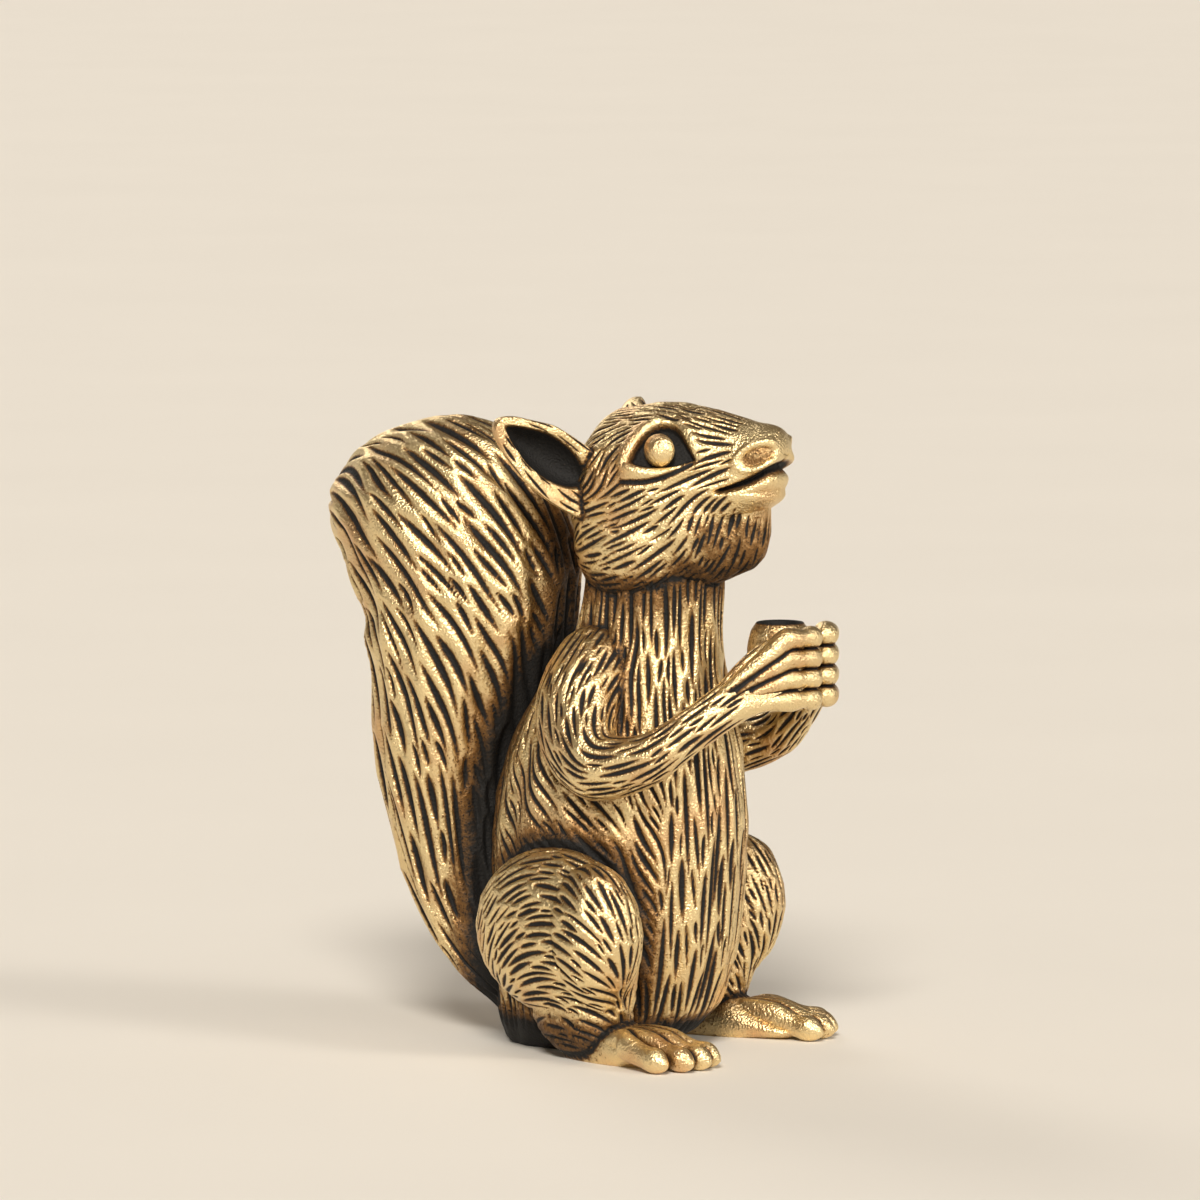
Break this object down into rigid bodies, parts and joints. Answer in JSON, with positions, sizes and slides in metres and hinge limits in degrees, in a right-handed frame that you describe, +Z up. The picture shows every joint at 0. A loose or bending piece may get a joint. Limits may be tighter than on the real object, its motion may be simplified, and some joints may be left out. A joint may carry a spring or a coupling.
{
  "type": "brass squirrel figurine",
  "caption": "Small antique brass squirrel ornament sitting upright with a large raised tail, holding a nut in its paws; stands on its seat and soles.",
  "frame": {"origin": "on the ground plane, under the centre of the figure's bounding box", "axes": "+Z up; the squirrel faces -Y with its tail behind at +Y; its own left side is +X"},
  "size_m": [0.0226, 0.0359, 0.0416],
  "materials": {
    "antique_brass": "satin brass rubbed bright on the high parts, near-black patina left in the engraved fur"
  },
  "bodies": {
    "root": {"torso": "antique_brass", "head": "antique_brass", "right_ear": "antique_brass", "left_ear": "antique_brass", "right_eye": "antique_brass", "left_eye": "antique_brass", "tail": "antique_brass", "right_arm": "antique_brass", "left_arm": "antique_brass", "right_haunch": "antique_brass", "left_haunch": "antique_brass", "right_foot": "antique_brass", "left_foot": "antique_brass", "nut": "antique_brass"}
  },
  "joints": []
}
